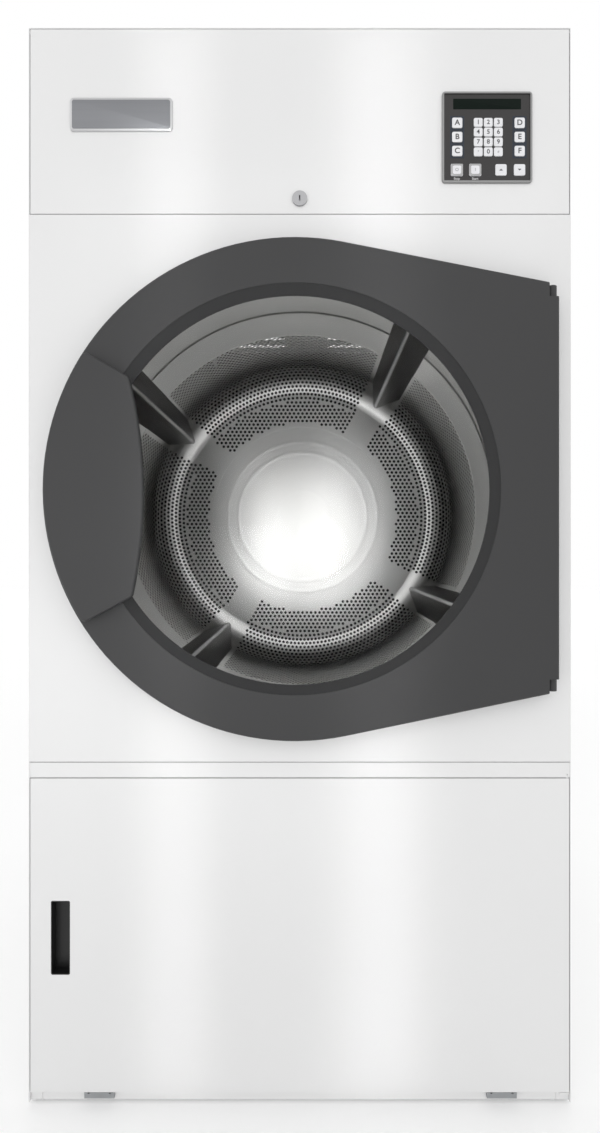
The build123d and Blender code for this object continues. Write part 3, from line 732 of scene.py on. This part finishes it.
def rounded_plate(name, low, high, corner, edge, material, body):
    """A rounded rectangular plate between two corner points, with its front edge eased."""
    middle = (low + high) / 2
    half_x = (high.x - low.x) / 2
    half_z = (high.z - low.z) / 2
    rings = ((0.0, high.y), (0.0, low.y + edge), (edge * 0.3, low.y + edge * 0.3), (edge, low.y))
    vertices = []
    for inset, y in rings:
        outline = rounded_outline(half_x, half_z, corner, 7, inset)
        vertices += [(middle.x + x, y, middle.z + z) for x, z in outline]
    count = len(vertices) // len(rings)
    faces = [tuple(range(count)), tuple(range(3 * count, 4 * count))]
    faces += tube_faces(len(rings), count, closed=False)
    smooth(new_piece(name, vertices, faces, material, body), 40)


def key_front(node):
    """The middle of a key's front face and half the key's width."""
    low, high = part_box(node)
    return Vector(((low.x + high.x) / 2, low.y, (low.z + high.z) / 2)), (high.x - low.x) / 2


def arrow(name, node, direction, body):
    """A small printed triangle that points up or down."""
    middle, _ = key_front(node)
    half = 3.3 * mm
    rise = 1.6 * mm * direction
    vertices = []
    for y in (middle.y + 0.01 * mm, middle.y - 0.05 * mm):
        for x, z in ((-half, -rise), (half, -rise), (0, rise)):
            vertices.append((middle.x + x, y, middle.z + z))
    faces = [(0, 1, 2), (3, 5, 4), (0, 3, 4, 1), (1, 4, 5, 2), (2, 5, 3, 0)]
    smooth(new_piece(name, vertices, faces, ink, body))


def mark_key(name, text, share, material):
    """A character on a key, its size a share of the key's height."""
    low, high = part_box("key_" + name)
    centre = Vector(((low.x + high.x) / 2, low.y - 0.02 * mm, (low.z + high.z) / 2))
    body = "key_" + name + "_body"
    lettering("mark_" + name, text, share * (high.z - low.z), centre, material, body)


def make_lettering():
    for name in "abcdef":
        mark_key(name, name.upper(), 0.74, ink)
    for name in "0123456789":
        mark_key(name, name, 0.70, ink)
    for name, text in (("star", "*"), ("hash", "#"), ("stop", "O"), ("start", "I")):
        mark_key(name, text, 0.36, faint_ink)
    for name in ("stop", "start"):
        middle, half = key_front("key_" + name)
        place = Vector((middle.x, keypad_face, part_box("key_" + name)[0].z - 4.4 * mm))
        lettering("label_" + name, name.capitalize(), 6.0 * mm, place, pale_ink,
                  "control_flap")
        half -= 0.2 * mm
        flat_frame("frame_" + name, middle, half, half - 3.2 * mm, 4 * mm, 0.25 * mm, key_frame,
                   "key_" + name + "_body")
    for name in "abcdef":
        middle, half = key_front("key_" + name)
        middle.y = keypad_face + 0.02 * mm
        flat_frame("print_" + name, middle, half + 3.4 * mm, half + 0.35 * mm, 1.2 * mm, 0.08 * mm, blue_ink,
                   "control_flap")
    arrow("mark_up", "key_up", 1, "key_up_body")
    arrow("mark_down", "key_down", -1, "key_down_body")


def make_display():
    """A dark green window over the recess at the top of the keypad."""
    s = Shader("display_window", (0.004, 0.008, 0.006), 0.45, Specular_IOR_Level=0.08)
    s.feed("Base Color", s.blend(s.noise(30.0), (0.003, 0.006, 0.0045), (0.004, 0.010, 0.007)))
    middle = (keypad_low + keypad_high) / 2
    half_x = 61 * mm
    half_z = 9.5 * mm
    z = middle.z + 60 * mm
    low = Vector((middle.x - half_x, keypad_face - 0.3 * mm, z - half_z))
    high = Vector((middle.x + half_x, keypad_face + 0.6 * mm, z + half_z))
    rounded_plate("display_window", low, high, 1.0 * mm, 0.3 * mm, s.material, "control_flap")


def make_badge():
    """A plain plate at the upper left of the control panel."""
    panel_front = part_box("control_panel")[0].y
    left, right = -0.414, -0.229
    bottom, top = 1.755, 1.815
    rim_low = Vector((left, panel_front - 3.0 * mm, bottom))
    rim_high = Vector((right, panel_front + 0.05 * mm, top))
    inset = Vector((4 * mm, 0, 4 * mm))
    field_low = rim_low + inset - Vector((0, 0.4 * mm, 0))
    field_high = rim_high - inset
    bright = brushed("badge_rim_metal", (0.62, 0.62, 0.63), 0.3, (0.02, 1, 1))
    dull = brushed("badge_field_metal", (0.28, 0.285, 0.30), 0.42, (0.02, 1, 1))
    rounded_plate("badge_rim", rim_low, rim_high, 7 * mm, 1.2 * mm, bright, "control_flap")
    rounded_plate("badge_field", field_low, field_high, 4 * mm, 0.3 * mm, dull, "control_flap")


make_lettering()
make_display()
make_badge()

for sheet_node in ("front_panel", "control_panel", "lower_door", "front_rail", "top_cover", "left_side_panel",
                   "right_side_panel", "base_frame", "rear_panel"):
    soften(nodes[sheet_node], 0.5 * mm)

make_floor()
finish_camera_and_light()
